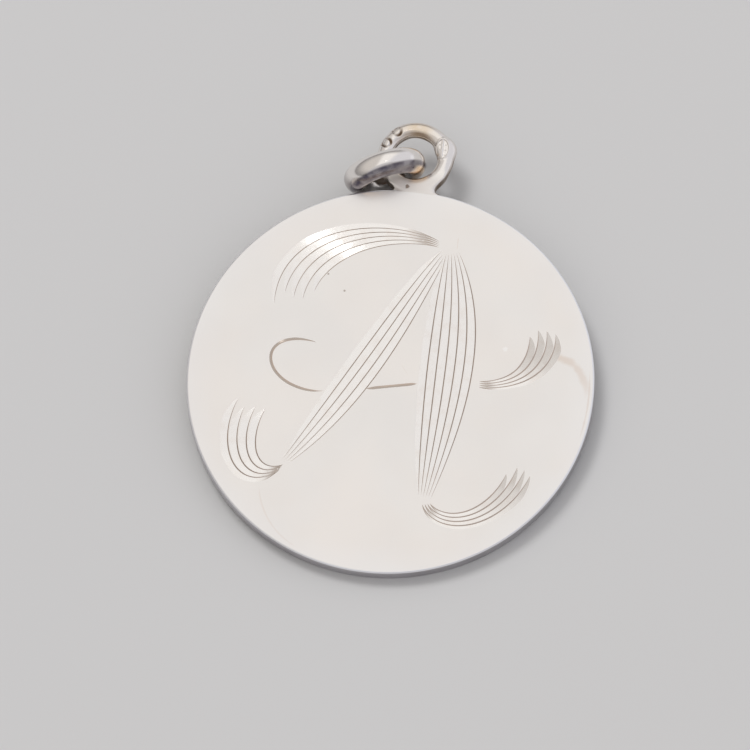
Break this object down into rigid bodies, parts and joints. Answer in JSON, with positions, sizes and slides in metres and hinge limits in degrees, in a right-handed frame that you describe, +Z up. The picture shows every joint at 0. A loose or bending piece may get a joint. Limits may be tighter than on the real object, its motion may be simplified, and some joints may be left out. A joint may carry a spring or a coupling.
{
  "type": "initial pendant",
  "caption": "Round silver disc pendant engraved with a script initial, with a soldered wire loop and a heavy linked jump ring, lying face up.",
  "frame": {"origin": "centre of the bottom of the bounding box, on the surface that the pendant lies on", "axes": "+Z up from the surface, +Y from the disc towards the loop, +X to the right as the letter is read"},
  "size_m": [0.025, 0.0296, 0.0052],
  "materials": {
    "disc_silver": "solid silver, worn satin polish with fine scratches and bright-cut engraving",
    "ring_silver": "solid silver, high polish"
  },
  "bodies": {
    "root": {"pendant_disc": "disc_silver", "jump_ring": "ring_silver"}
  },
  "joints": []
}
